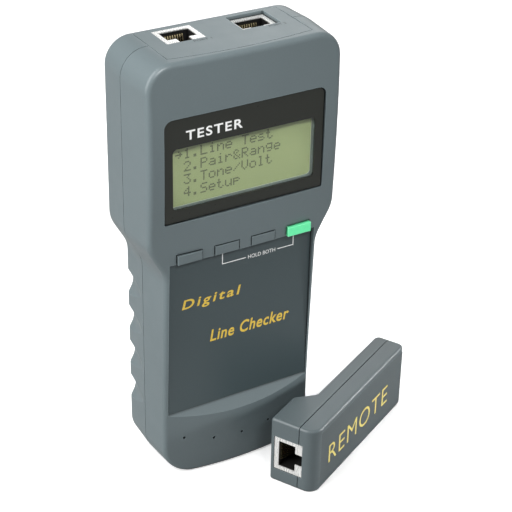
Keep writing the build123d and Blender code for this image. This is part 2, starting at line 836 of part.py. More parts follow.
# ---- Batteries and their contacts -------------------------------------------------------
for i, level in enumerate(cell_levels):
    way = 1 if i % 2 == 0 else -1
    with BuildPart() as cell:
        with BuildSketch(Plane.YZ.offset(-way * cell_length / 2)):
            with Locations((cell_y, level)):
                Circle(cell_radius)
        extrude(amount=way * (cell_length - cell_nub))
        fillet(cell.edges().filter_by(GeomType.CIRCLE), cell_edge)
        with BuildSketch(Plane.YZ.offset(way * (cell_length / 2 - cell_nub))):
            with Locations((cell_y, level)):
                Circle(nub_radius)
        extrude(amount=way * cell_nub)
    save(cell, f"battery_cell_{i + 1}")

with BuildPart() as battery_contacts:
    for i, level in enumerate(cell_levels):
        for end in (-1, 1):
            with BuildSketch(Plane.YZ.offset(end * bay_width / 2)):
                with Locations((cell_y, level)):
                    Rectangle(contact_plate_width, contact_plate_height)
            extrude(amount=-end * contact_plate)
        way = 1 if i % 2 == 0 else -1
        with BuildSketch(Plane.YZ.offset(way * (bay_width / 2 - contact_plate))):
            with Locations((cell_y, level)):
                Circle(dimple_radius)
        extrude(amount=-way * (contact_room - contact_plate - hair), taper=dimple_taper)
save(battery_contacts, "battery_contacts")

with BuildPart() as battery_springs:
    for i, level in enumerate(cell_levels):
        way = 1 if i % 2 == 0 else -1
        seat_x = -way * (bay_width / 2 - contact_plate - 2 * spring_wire)
        with BuildLine() as coil:
            Helix(
                spring_pitch,
                spring_pitch * spring_turns,
                spring_radius,
                center=(seat_x, cell_y, level),
                direction=(way, 0, 0),
            )
        with BuildSketch(Plane(origin=coil.line @ 0, z_dir=coil.line % 0)):
            Circle(spring_wire)
        sweep(path=coil.line, is_frenet=True)
save(battery_springs, "battery_springs")


def save_leads(name, routes):
    """Insulated wires of one colour, each a tube along straight runs joined by tangent arcs."""
    with BuildPart() as leads:
        for points, radii in routes:
            with BuildLine() as route:
                FilletPolyline(*points, radius=radii)
            with BuildSketch(Plane(origin=route.line @ 0, z_dir=route.line % 0)):
                Circle(lead_radius)
            sweep(path=route.line)
    save(leads, name)


lead_y = bay_front - bay_wall - lead_room
for name, x in (("battery_lead_red", 16.0), ("battery_lead_black", 12.0)):
    save_leads(
        name,
        [
            (
                [
                    (x, bay_front - bay_wall, board_foot - 14),
                    (x, lead_y, board_foot - 14),
                    (x + 1.5, lead_y, board_foot - 4),
                    (x, lead_y, board_foot + lead_in),
                    (x, board_front, board_foot + lead_in),
                ],
                [1.1, 8, 1.1],
            )
        ],
    )
save_leads(
    "buzzer_leads",
    [
        (
            [
                (x, buzzer_back, buzzer_z),
                (x, lead_y, buzzer_z),
                (x * 1.4, lead_y, buzzer_z + 25),
                (x, lead_y, buzzer_z + 52),
                (x * 1.3, lead_y, board_foot + lead_in),
                (x * 1.3, board_front, board_foot + lead_in),
            ],
            [0.8, 60, 60, 1.1],
        )
        for x in (-2.5, 2.5)
    ],
)

# ---- Screws -------------------------------------------------------------------------------


def save_screws(name, places, seat, turn, shank, head, reach, head_thick):
    """Group of pan-head screws. seat is the depth of the face under the heads."""
    with BuildPart() as screws:
        with BuildSketch(seat):
            with Locations(*places):
                Circle(shank - thread_play)
        extrude(amount=-reach)
        with BuildSketch(seat):
            with Locations(*places):
                Circle(head)
        extrude(amount=head_thick)
        fillet(screws.faces().filter_by(turn).group_by(turn)[-1].edges(), screw_edge)
        with BuildSketch(seat.offset(head_thick - recess_depth)):
            with Locations(*places):
                Rectangle(head * recess_share, recess_width)
                Rectangle(recess_width, head * recess_share)
        extrude(amount=recess_depth, mode=Mode.SUBTRACT)
    save(screws, name)


save_screws(
    "case_screws",
    [(-x, z) for x, z in boss_places],
    rear_plane(back_y - screw_sink),
    Axis.Y,
    case_screw_radius,
    case_screw_head,
    back_y - screw_sink - boss_face + case_screw_bite,
    case_screw_head_thick,
)
save_screws(
    "board_screws",
    [(-x, z) for x, z in board_screws],
    rear_plane(board_back),
    Axis.Y,
    board_screw_radius,
    board_screw_head,
    board_thick + board_screw_bite,
    board_screw_head_thick,
)
save_screws(
    "lcd_screws",
    [(-x, z) for x, z in lcd_screws],
    rear_plane(lcd_board_back),
    Axis.Y,
    lcd_screw_radius,
    lcd_screw_head,
    board_thick + lcd_screw_bite,
    lcd_screw_head_thick,
)

# ---- Remote end piece ---------------------------------------------------------------------
# Local axes: x from the socket end to the far end, y from the label face to the back, z up.
turn = math.radians(remote_turn)
remote = Plane(
    origin=(remote_x, remote_y, 0),
    x_dir=(math.cos(turn), math.sin(turn), 0),
    z_dir=(0, 0, 1),
)


def remote_plan(inset=0.0):
    """The remote seen from above: thick at the socket, then a slope down to the thin handle."""
    near = remote_thick_end - inset
    far = remote_thin_end - inset
    points = [
        (inset, inset),
        (remote_length - inset, inset),
        (remote_length - inset, far),
        (remote_thick_run + remote_ramp, far),
        (remote_thick_run, near),
        (inset, near),
    ]
    radii = [remote_corner - inset, remote_far_corner - inset, remote_far_corner - inset]
    radii += [remote_slope_corner, remote_slope_corner, remote_near_corner]
    with BuildSketch() as plan:
        with BuildLine():
            FilletPolyline(*points, radius=radii, close=True)
        make_face()
    return plan.sketch


def remote_half(first_y, last_y):
    """Band of the remote's plan between two depths."""
    with BuildSketch() as band:
        with Locations((remote_length / 2, (first_y + last_y) / 2)):
            Rectangle(remote_length + 2 * overcut, last_y - first_y)
    return band.sketch


remote_jack_y = remote_thick_end - remote_jack_back - jack_thick / 2
remote_board_y = remote_jack_y - jack_thick / 2 - board_thick
remote_boss_face = remote_board_y
remote_board_length = remote_length - 2 * (remote_wall + remote_board_clear)
remote_board_x = remote_length / 2 + remote_board_shift
remote_board_height = remote_height - 2 * (remote_wall + remote_board_side)
remote_screw_places = [
    (remote_thick_run + remote_ramp + remote_screw_after, remote_height / 2),
    (remote_length - remote_screw_before, remote_height / 2),
]
label_length = remote_length - remote_corner - remote_label_rim - remote_label_gap
label_x = remote_corner + label_length / 2
label_height = remote_height - remote_label_rim - remote_label_drop
label_z = remote_label_rim + label_height / 2
label_recess = (label_length + 2 * remote_label_gap, label_height + 2 * remote_label_gap)
groove_floor = (remote_length - 2 * groove_depth, remote_height - 2 * groove_depth)
remote_face = Plane(origin=remote.origin, x_dir=remote.x_dir, z_dir=-remote.y_dir)

for name, first_y, last_y in (
    ("remote_front_shell", -overcut, remote_parting),
    ("remote_rear_shell", remote_parting, remote_thick_end + overcut),
):
    with BuildPart() as shell:
        with BuildSketch(remote):
            add(remote_plan())
        extrude(amount=remote_height)
        fillet(shell.faces().sort_by(Axis.Z)[-1].outer_wire().edges(), remote_edge)
        fillet(shell.faces().sort_by(Axis.Z)[0].outer_wire().edges(), remote_edge)
        with BuildSketch(remote.offset(remote_wall)):
            add(remote_plan(remote_wall))
        extrude(amount=remote_height - 2 * remote_wall, mode=Mode.SUBTRACT)
        with BuildSketch(remote):
            add(remote_half(first_y, last_y))
        extrude(amount=remote_height, mode=Mode.INTERSECT)
        if name == "remote_rear_shell":
            # Shadow line along the front shell.
            with BuildSketch(remote_face.offset(-remote_parting - groove_width)):
                with Locations((remote_length / 2, remote_height / 2)):
                    Rectangle(remote_length + 2 * overcut, remote_height + 2 * overcut)
                    Rectangle(*groove_floor, mode=Mode.SUBTRACT)
            extrude(amount=groove_width, mode=Mode.SUBTRACT)
        # Opening for the socket in the near end.
        with BuildSketch(remote.offset(remote_jack_rise - jack_width / 2 - seam)):
            with Locations((0, remote_jack_y)):
                Rectangle(2 * remote_wall + overcut, jack_thick + 2 * seam)
        extrude(amount=jack_width + 2 * seam, mode=Mode.SUBTRACT)
        if name == "remote_front_shell":
            # Recess for the label.
            with BuildSketch(remote_face.offset(-remote_label_depth)):
                with Locations((label_x, label_z)):
                    RectangleRounded(*label_recess, remote_label_corner)
            extrude(amount=remote_label_depth + overcut, mode=Mode.SUBTRACT)
            with BuildSketch(remote_face.offset(-remote_boss_face)):
                with Locations(*remote_screw_places):
                    Circle(remote_boss_radius)
            extrude(amount=remote_boss_face - remote_wall)
            with BuildSketch(remote_face.offset(-remote_boss_face)):
                with Locations(*remote_screw_places):
                    Circle(board_screw_radius)
            extrude(amount=remote_boss_face - remote_wall, mode=Mode.SUBTRACT)
        else:
            with BuildSketch(remote_face.offset(-remote_thin_end + remote_wall)):
                with Locations(*remote_screw_places):
                    Circle(remote_boss_radius)
            extrude(amount=remote_thin_end - remote_wall - remote_boss_face - board_thick - fit)
            with BuildSketch(remote_face.offset(-remote_thin_end)):
                with Locations(*remote_screw_places):
                    Circle(board_screw_radius + fit)
            extrude(amount=cut_through, mode=Mode.SUBTRACT)
            with BuildSketch(remote_face.offset(-remote_thin_end)):
                with Locations(*remote_screw_places):
                    Circle(board_screw_head + 2 * fit)
            extrude(amount=remote_screw_sink, mode=Mode.SUBTRACT)
    save(shell, name)

with BuildPart() as remote_label:
    with BuildSketch(remote_face.offset(-remote_label_depth)):
        with Locations((label_x, label_z)):
            RectangleRounded(label_length, label_height, remote_label_corner)
    extrude(amount=remote_label_depth - fit)
save(remote_label, "remote_label")

with BuildPart() as remote_board:
    with BuildSketch(remote_face.offset(-remote_board_y - board_thick)):
        with Locations((remote_board_x, remote_height / 2)):
            Rectangle(remote_board_length, remote_board_height)
        with Locations(*remote_screw_places):
            Circle(board_screw_radius + fit, mode=Mode.SUBTRACT)
    extrude(amount=board_thick)
save(remote_board, "remote_board")

with BuildPart() as remote_chip:
    with BuildSketch(remote_face.offset(-remote_board_y - board_thick - chip_thick)):
        with Locations((remote_board_x + remote_chip_shift, remote_height / 2)):
            Rectangle(remote_chip_length, remote_chip_height)
    extrude(amount=chip_thick)
save(remote_chip, "remote_chip")

save_screws(
    "remote_screws",
    [(-x, z) for x, z in remote_screw_places],
    Plane(
        origin=remote.from_local_coords((0, remote_thin_end - remote_screw_sink, 0)),
        x_dir=-remote.x_dir,
        z_dir=remote.y_dir,
    ),
    Axis(remote.origin, remote.y_dir),
    board_screw_radius,
    board_screw_head,
    remote_thin_end - remote_screw_sink - remote_boss_face + remote_screw_bite,
    board_screw_head_thick,
)

save_jack(
    Plane(
        origin=remote.from_local_coords((remote_jack_sunk, remote_jack_y, remote_jack_rise)),
        x_dir=(0, 0, 1),
        z_dir=-remote.x_dir,
    ),
    "remote_jack",
)
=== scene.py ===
# %% [markdown]
# # Network cable tester and its loose remote
# This notebook dresses a finished mechanical model. The shells, the display stack, the sockets
# and everything that moves come from the CAD frame. Here they get their finishes, and the
# things that a CAD model leaves out are added: printed lettering, the characters on the
# display, light and a camera.
# The frame is loaded first, because every new piece is placed from its measurements.

# %% Load the frame
import json
import math

import bpy
import numpy as np
from mathutils import Matrix, Vector


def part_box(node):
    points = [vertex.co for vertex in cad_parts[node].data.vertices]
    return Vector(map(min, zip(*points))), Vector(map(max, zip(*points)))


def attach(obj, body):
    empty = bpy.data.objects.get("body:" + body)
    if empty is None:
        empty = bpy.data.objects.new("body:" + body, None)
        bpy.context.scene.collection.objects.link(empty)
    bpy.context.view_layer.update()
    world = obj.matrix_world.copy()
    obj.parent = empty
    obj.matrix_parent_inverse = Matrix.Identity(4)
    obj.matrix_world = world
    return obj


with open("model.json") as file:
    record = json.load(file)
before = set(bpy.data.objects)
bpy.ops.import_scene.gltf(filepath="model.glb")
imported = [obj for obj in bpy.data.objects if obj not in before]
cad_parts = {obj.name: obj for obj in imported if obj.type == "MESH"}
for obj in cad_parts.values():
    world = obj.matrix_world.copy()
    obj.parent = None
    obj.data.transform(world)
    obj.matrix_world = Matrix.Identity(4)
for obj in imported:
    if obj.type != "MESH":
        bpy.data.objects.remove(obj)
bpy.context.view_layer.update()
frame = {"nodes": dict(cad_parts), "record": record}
scene = bpy.context.scene
cad = frame["nodes"]
MM = 0.001
print("CAD nodes:", len(cad))

# %% [markdown]
# ## Camera
# The tester is seen from its left and from above through a long lens, so its upright edges
# nearly stay parallel. A camera in Blender looks down its own -Z axis, so its three axes are
# worked out from two angles and a small roll, and put into a matrix. That keeps every number
# in the setup one that a photographer would understand.

# %% Camera
CAMERA_AZIMUTH = math.radians(-31.10)
CAMERA_ELEVATION = math.radians(30.14)
CAMERA_ROLL = 0.0226
CAMERA_PLACE = Vector((-262.6, -461.4, 397.6)) * MM
LENS = 107.20
SENSOR = 36.0


def camera_axes(azimuth, elevation, roll):
    """Right, up and backward axes of a camera turned by azimuth, then elevation, then roll."""
    back = Vector((
        math.sin(azimuth) * math.cos(elevation),
        -math.cos(azimuth) * math.cos(elevation),
        math.sin(elevation),
    ))
    level = Vector((math.cos(azimuth), math.sin(azimuth), 0))
    upright = back.cross(level)
    right = level * math.cos(roll) + upright * math.sin(roll)
    up = upright * math.cos(roll) - level * math.sin(roll)
    return right, up, back


camera_data = bpy.data.cameras.new("camera")
camera_data.lens = LENS
camera_data.sensor_width = SENSOR
camera = bpy.data.objects.new("camera", camera_data)
axes = Matrix(camera_axes(CAMERA_AZIMUTH, CAMERA_ELEVATION, CAMERA_ROLL))
camera.matrix_world = Matrix.Translation(CAMERA_PLACE) @ axes.transposed().to_4x4()
scene.collection.objects.link(camera)
scene.camera = camera
scene.view_settings.view_transform = "Standard"
print("camera at", [round(value, 3) for value in CAMERA_PLACE])

# %% [markdown]
# ## Floor and light
# The object stands on white paper that runs on out of sight. To the camera the paper glows a
# little, which is how an overlit sweep looks: only the places that touch the object stay
# darker. To every other ray it is a duller paper, so that it doesn't light the object from
# below. A small function chooses between two shaders by the kind of ray, because the room
# and the window need the same trick.

# %% Floor
FLOOR_REACH = 4.0
PAPER_GLOW = 0.4
PAPER_GREY = 0.42


def mix_by_ray(tree, ray, usual, for_ray, surface):
    """Send one shader to a tree's output for one kind of ray, and another for the rest."""
    path = tree.nodes.new("ShaderNodeLightPath")
    either = tree.nodes.new("ShaderNodeMixShader")
    tree.links.new(path.outputs[ray], either.inputs["Fac"])
    tree.links.new(usual, either.inputs[1])
    tree.links.new(for_ray, either.inputs[2])
    tree.links.new(either.outputs["Shader"], surface)


corners = [(-1, -1), (1, -1), (1, 1), (-1, 1)]
floor_mesh = bpy.data.meshes.new("floor")
floor_mesh.from_pydata([(x * FLOOR_REACH, y * FLOOR_REACH, 0) for x, y in corners], [], [(0, 1, 2, 3)])
floor = bpy.data.objects.new("floor", floor_mesh)
scene.collection.objects.link(floor)
paper = bpy.data.materials.new("white_paper")
paper.use_nodes = True
paper_shader = paper.node_tree.nodes["Principled BSDF"]
paper_shader.inputs["Base Color"].default_value = (0.85, 0.85, 0.85, 1)
paper_shader.inputs["Roughness"].default_value = 0.9
paper_shader.inputs["Emission Color"].default_value = (1, 1, 1, 1)
paper_shader.inputs["Emission Strength"].default_value = PAPER_GLOW
dull_paper = paper.node_tree.nodes.new("ShaderNodeBsdfDiffuse")
dull_paper.inputs["Color"].default_value = (PAPER_GREY, PAPER_GREY, PAPER_GREY, 1)
mix_by_ray(
    paper.node_tree,
    "Is Camera Ray",
    dull_paper.outputs["BSDF"],
    paper_shader.outputs["BSDF"],
    paper.node_tree.nodes["Material Output"].inputs["Surface"],
)
floor_mesh.materials.append(paper)
print("floor reaches", FLOOR_REACH, "m each way")

# %% [markdown]
# The world is a plain white room, dimmer for light than it looks to the camera. A large soft
# box stands high on the left, and a wide one low on the left, so the top and the left side
# are brighter than the front. Two small ones with grids light the display end and the
# remote's label, and a weak one behind keeps the back from going black.

# %% Light
ROOM_LIGHT = 0.42
world = bpy.data.worlds.new("white_room")
world.use_nodes = True
scene.world = world
room = world.node_tree.nodes["Background"]
room.inputs["Color"].default_value = (1, 1, 1, 1)
room.inputs["Strength"].default_value = ROOM_LIGHT
seen_room = world.node_tree.nodes.new("ShaderNodeBackground")
seen_room.inputs["Color"].default_value = (1, 1, 1, 1)
mix_by_ray(
    world.node_tree,
    "Is Camera Ray",
    room.outputs["Background"],
    seen_room.outputs["Background"],
    world.node_tree.nodes["World Output"].inputs["Surface"],
)


def soft_box(name, place, aim, size, power, spread=180):
    """Square area light at a place, turned to face a point, all in metres and watts.

    A small spread, in degrees, is a grid on its front that keeps the light near its axis.
    """
    data = bpy.data.lights.new(name, "AREA")
    data.shape = "SQUARE"
    data.size = size
    data.energy = power
    data.spread = math.radians(spread)
    lamp = bpy.data.objects.new(name, data)
    lamp.location = place
    lamp.rotation_euler = (Vector(aim) - Vector(place)).to_track_quat("-Z", "Y").to_euler()
    scene.collection.objects.link(lamp)


soft_box("key", (-1.15, 0.12, 1.45), (0, 0, 0.1), size=1.2, power=26)
soft_box("head_light", (-0.15, -0.6, 0.66), (-0.01, -0.02, 0.19), size=0.14, power=0.1, spread=24)
soft_box("side_light", (-1.3, 0.05, 0.45), (0, 0, 0.09), size=0.7, power=10)
soft_box("remote_light", (0.7, -0.3, 0.2), (0.06, -0.03, 0.01), size=0.12, power=0.06, spread=14)
soft_box("back_fill", (0.9, 0.9, 0.7), (0.03, 0, 0.05), size=0.8, power=3)

# %% [markdown]
# ## Effects shared by several finishes
# Moulded plastic with painted shade in narrow gaps, ink, tin plate, and rubbing with a painted
# highlight at edges come back on many pieces. Each effect is a node group with its own inputs,
# so one change reaches every finish that uses it. A group hands out colours, masks and heights
# only. The shader itself stays in each material.

# %% Helpers for node groups


def new_group(name, inputs, outputs):
    """Empty shader node group. inputs are (name, type, value) and outputs are (name, type)."""
    group = bpy.data.node_groups.new(name, "ShaderNodeTree")
    for label, kind, value in inputs:
        socket = group.interface.new_socket(label, in_out="INPUT", socket_type=kind)
        socket.default_value = value
    for label, kind in outputs:
        group.interface.new_socket(label, in_out="OUTPUT", socket_type=kind)
    entry = group.nodes.new("NodeGroupInput")
    leave = group.nodes.new("NodeGroupOutput")
    return group, entry, leave


def add_node(tree, kind, **settings):
    """New node in a tree, with its properties set by name."""
    node = tree.nodes.new(kind)
    for label, value in settings.items():
        setattr(node, label, value)
    return node


def add_noise(tree, coordinates, scale, detail):
    """Noise texture on the given coordinates. scale is a number or a socket."""
    noise = add_node(tree, "ShaderNodeTexNoise")
    noise.inputs["Detail"].default_value = detail
    tree.links.new(coordinates, noise.inputs["Vector"])
    if isinstance(scale, (int, float)):
        noise.inputs["Scale"].default_value = scale
    else:
        tree.links.new(scale, noise.inputs["Scale"])
    return noise.outputs["Fac"]


def add_math(tree, operation, first, second):
    """Math node whose two values are numbers or sockets."""
    node = add_node(tree, "ShaderNodeMath", operation=operation)
    for socket, value in zip(node.inputs, (first, second)):
        if isinstance(value, (int, float)):
            socket.default_value = value
        else:
            tree.links.new(value, socket)
    return node.outputs["Value"]


def add_tint(tree, colour, factor):
    """Colour made lighter or darker by a factor: each of its three parts times the factor."""
    node = add_node(tree, "ShaderNodeVectorMath", operation="SCALE")
    tree.links.new(colour, node.inputs["Vector"])
    tree.links.new(factor, node.inputs["Scale"])
    return node.outputs["Vector"]


def add_swing(tree, noise, amount):
    """A noise made to swing about zero: (noise - 0.5) * amount."""
    return add_math(tree, "MULTIPLY", add_math(tree, "SUBTRACT", noise, 0.5), amount)


def object_place(tree):
    """Coordinates of a point on the piece, in metres in the object's own frame."""
    return add_node(tree, "ShaderNodeTexCoord").outputs["Object"]


print("helpers ready")

# %% [markdown]
# Moulded plastic copies its tool, which is spark-eroded to a fine satin grain. A broad, faint
# mottle keeps large faces from looking like flat paint, and the gloss changes slowly from
# place to place where hands have polished it. The colour is darker wherever another face
# stands very near: a painted shade in narrow gaps and creases, standing in for their shadow.

# %% Moulded grain and painted gap shade
COLOUR = "NodeSocketColor"
NUMBER = "NodeSocketFloat"
COARSE_SCALE = 420.0  # noise scales are in cells per metre
BROAD_SCALE = 38.0
MIDDLING_SCALE = 120.0
SPECKLE = 0.12
COARSE_SHARE = 0.1
GAP_SHADE_POWER = 2.0


def build_grain_and_gap_shade():
    """Colour, roughness and height of satin moulded plastic, from four noises and a painted gap shade.

    colour = Colour * (1 + Mottle * (broad - 0.5) + SPECKLE * (fine - 0.5)) * openness
    openness = share of the open sky within Gap Reach, raised to GAP_SHADE_POWER
    roughness = Roughness + Polish * (middling - 0.5)
    height = fine noise, and a small share of a coarser one
    """
    group, entry, leave = new_group(
        "grain_and_gap_shade",
        [
            ("Colour", COLOUR, (0.2, 0.2, 0.2, 1)),
            ("Mottle", NUMBER, 0.15),
            ("Grain Scale", NUMBER, 2200.0),
            ("Roughness", NUMBER, 0.4),
            ("Polish", NUMBER, 0.2),
            ("Gap Reach", NUMBER, 0.0012),
        ],
        [("Colour", COLOUR), ("Roughness", NUMBER), ("Height", NUMBER)],
    )
    # Painted shade: ambient occlusion darkens the colour where another face stands near.
    gaps = add_node(group, "ShaderNodeAmbientOcclusion", samples=8)
    group.links.new(entry.outputs["Gap Reach"], gaps.inputs["Distance"])
    gap_shade_factor = add_math(group, "POWER", gaps.outputs["AO"], GAP_SHADE_POWER)
    place = object_place(group)
    fine = add_noise(group, place, entry.outputs["Grain Scale"], 2.0)
    coarse = add_noise(group, place, COARSE_SCALE, 1.0)
    broad = add_noise(group, place, BROAD_SCALE, 3.0)
    middling = add_noise(group, place, MIDDLING_SCALE, 4.0)
    swing = add_swing(group, broad, entry.outputs["Mottle"])
    speckle = add_swing(group, fine, SPECKLE)
    factor = add_math(group, "ADD", add_math(group, "ADD", swing, speckle), 1.0)
    factor = add_math(group, "MULTIPLY", factor, gap_shade_factor)
    group.links.new(add_tint(group, entry.outputs["Colour"], factor), leave.inputs["Colour"])
    polish = add_swing(group, middling, entry.outputs["Polish"])
    rough = add_math(group, "ADD", entry.outputs["Roughness"], polish)
    group.links.new(rough, leave.inputs["Roughness"])
    height = add_math(group, "ADD", fine, add_math(group, "MULTIPLY", coarse, COARSE_SHARE))
    group.links.new(height, leave.inputs["Height"])
    return group


grain_and_gap_shade = build_grain_and_gap_shade()
print("group:", grain_and_gap_shade.name)

# %% [markdown]
# Corners and rims are a little lighter than the faces: partly from rubbing where they are
# handled most, and partly a painted highlight for the light that rounded edges catch.
# The Bevel node looks for nearby faces that point another way. Where its rounded normal
# leaves the true one, there is an edge, and a noise breaks the line up.

# %% Edge rubbing and painted highlight
WEAR_HIGHLIGHT_GAIN = 8.0
PATCH_SCALE = 260.0


def build_edge_wear_and_highlight():
    """Mask of edges lightened by rubbing and a painted highlight: Strength * patches *
    WEAR_HIGHLIGHT_GAIN * (1 - bevelled . true), up to 1.
    """
    group, entry, leave = new_group(
        "edge_wear_and_highlight",
        [("Width", NUMBER, 0.0006), ("Strength", NUMBER, 1.0)],
        [("Mask", NUMBER)],
    )
    bevel = add_node(group, "ShaderNodeBevel", samples=4)
    group.links.new(entry.outputs["Width"], bevel.inputs["Radius"])
    true_normal = add_node(group, "ShaderNodeNewGeometry").outputs["Normal"]
    agree = add_node(group, "ShaderNodeVectorMath", operation="DOT_PRODUCT")
    group.links.new(bevel.outputs["Normal"], agree.inputs[0])
    group.links.new(true_normal, agree.inputs[1])
    turned = add_math(group, "SUBTRACT", 1.0, agree.outputs["Value"])
    edge = add_math(group, "MULTIPLY", turned, WEAR_HIGHLIGHT_GAIN)
    patches = add_noise(group, object_place(group), PATCH_SCALE, 4.0)
    broken = add_math(group, "MULTIPLY", edge, patches)
    mask = add_math(group, "MULTIPLY", broken, entry.outputs["Strength"])
    limited = add_math(group, "MINIMUM", mask, 1.0)
    group.links.new(limited, leave.inputs["Mask"])
    return group


edge_wear_and_highlight = build_edge_wear_and_highlight()
print("group:", edge_wear_and_highlight.name)

# %% [markdown]
# Tin-plated sheet is rolled, so its marks all run one way, and stamping leaves it slightly
# wavy. Stretching the coordinates of a noise in one direction draws such marks.

# %% Rolled metal
ROLLED_SQUEEZE = 0.08  # of the coordinates along Z, which draws the noise out
LINE_SCALE = 2600.0
STAIN_SCALE = 300.0
STAIN_LOW = 0.85
STAIN_SHARE = 0.25


def build_rolled_metal():
    """Colour, roughness and height of rolled, plated sheet, from a noise stretched along Z.

    colour = Colour * (STAIN_LOW + STAIN_SHARE * stains)
    roughness = Roughness + Streak * (lines - 0.5)
    """
    group, entry, leave = new_group(
        "rolled_metal",
        [
            ("Colour", COLOUR, (0.8, 0.8, 0.8, 1)),
            ("Roughness", NUMBER, 0.25),
            ("Streak", NUMBER, 0.2),
        ],
        [("Colour", COLOUR), ("Roughness", NUMBER), ("Height", NUMBER)],
    )
    stretch = add_node(group, "ShaderNodeMapping")
    stretch.inputs["Scale"].default_value = (1.0, 1.0, ROLLED_SQUEEZE)
    group.links.new(object_place(group), stretch.inputs["Vector"])
    lines = add_noise(group, stretch.outputs["Vector"], LINE_SCALE, 3.0)
    stains = add_noise(group, object_place(group), STAIN_SCALE, 3.0)
    swing = add_swing(group, lines, entry.outputs["Streak"])
    rough = add_math(group, "ADD", entry.outputs["Roughness"], swing)
    group.links.new(rough, leave.inputs["Roughness"])
    factor = add_math(group, "ADD", STAIN_LOW, add_math(group, "MULTIPLY", stains, STAIN_SHARE))
    group.links.new(add_tint(group, entry.outputs["Colour"], factor), leave.inputs["Colour"])
    group.links.new(lines, leave.inputs["Height"])
    return group


rolled_metal = build_rolled_metal()
print("group:", rolled_metal.name)

# %% [markdown]
# Screen-printed ink lies thinner in some places than in others, and its surface has a slight
# orange-peel. That is a broad noise in the colour and a fine one in the height.

# %% Printed ink
COVER_SCALE = 900.0
PEEL_SCALE = 1500.0


def build_printed_ink():
    """Colour, roughness and height of a screen-printed coat.

    swing = Unevenness * (cover - 0.5), which scales the colour and adds to the roughness
    """
    group, entry, leave = new_group(
        "printed_ink",
        [
            ("Colour", COLOUR, (0.8, 0.8, 0.8, 1)),
            ("Unevenness", NUMBER, 0.12),
            ("Roughness", NUMBER, 0.35),
        ],
        [("Colour", COLOUR), ("Roughness", NUMBER), ("Height", NUMBER)],
    )
    place = object_place(group)
    cover = add_noise(group, place, COVER_SCALE, 3.0)
    peel = add_noise(group, place, PEEL_SCALE, 1.0)
    swing = add_swing(group, cover, entry.outputs["Unevenness"])
    group.links.new(
        add_tint(group, entry.outputs["Colour"], add_math(group, "ADD", swing, 1.0)),
        leave.inputs["Colour"],
    )
    rough = add_math(group, "ADD", entry.outputs["Roughness"], swing)
    group.links.new(rough, leave.inputs["Roughness"])
    group.links.new(peel, leave.inputs["Height"])
    return group


printed_ink = build_printed_ink()
print("group:", printed_ink.name)

# %% [markdown]
# ## Finishes
# Each finish is one Principled BSDF fed by the groups above. `finish` wires a group's colour,
# roughness and height to the shader, and gives the shader back so that the rest can be set.

# %% Helper for finishes
finishes = {}


def finish(name, effect, values, bump=0.2, bump_reach=0.00003, wear_highlight=None):
    """Material whose shader reads one effect group. The last argument is (edge colour, width, strength):
    rubbing with a painted highlight at the edges.
    """
    material = bpy.data.materials.new(name)
    material.use_nodes = True
    tree = material.node_tree
    shader = tree.nodes["Principled BSDF"]
    source = add_node(tree, "ShaderNodeGroup", node_tree=effect)
    for label, value in values.items():
        source.inputs[label].default_value = value
    colour = source.outputs["Colour"]
    # Edge colour: rubbing from handling together with a painted highlight at the edges.
    if wear_highlight:
        rubbed_lit_colour, width, strength = wear_highlight
        wear_and_highlight = add_node(tree, "ShaderNodeGroup", node_tree=edge_wear_and_highlight)
        wear_and_highlight.inputs["Width"].default_value = width
        wear_and_highlight.inputs["Strength"].default_value = strength
        blend = add_node(tree, "ShaderNodeMix", data_type="RGBA")
        tree.links.new(wear_and_highlight.outputs["Mask"], blend.inputs["Factor"])
        tree.links.new(colour, blend.inputs["A"])
        blend.inputs["B"].default_value = rubbed_lit_colour
        colour = blend.outputs["Result"]
    tree.links.new(colour, shader.inputs["Base Color"])
    tree.links.new(source.outputs["Roughness"], shader.inputs["Roughness"])
    relief = add_node(tree, "ShaderNodeBump")
    relief.inputs["Strength"].default_value = bump
    relief.inputs["Distance"].default_value = bump_reach
    tree.links.new(source.outputs["Height"], relief.inputs["Height"])
    tree.links.new(relief.outputs["Normal"], shader.inputs["Normal"])
    finishes[name] = material
    return shader


def grey(level, tint=(1.0, 1.0, 1.0)):
    """Linear colour of one brightness, tinted a little."""
    return (level * tint[0], level * tint[1], level * tint[2], 1)


COOL = (0.79, 1.0, 1.06)
PANEL_TINT = (0.72, 1.0, 1.08)
BORDER_TINT = (0.9, 1.0, 0.8)
print("cool grey:", grey(0.15, COOL))

# %% [markdown]
# The case is a cool mid-grey with a satin tool grain. The remote is the same plastic in a
# slightly darker batch. The keys are as grey as the case but coarser, and one is green.

# %% Plastics


def plastic(name, colour, mottle, grain_scale, rough, polish, bump, wear_highlight):
    """Moulded plastic: its colour, its grain, how it has polished, and how its edges wore and catch a
    painted highlight.
    """
    values = {
        "Colour": colour,
        "Mottle": mottle,
        "Grain Scale": grain_scale,
        "Roughness": rough,
        "Polish": polish,
    }
    finish(name, grain_and_gap_shade, values, bump=bump, wear_highlight=wear_highlight)


KEY_GREEN = (0.15, 0.90, 0.42, 1)
RUBBED_LIT_GREEN = (0.62, 0.95, 0.75, 1)
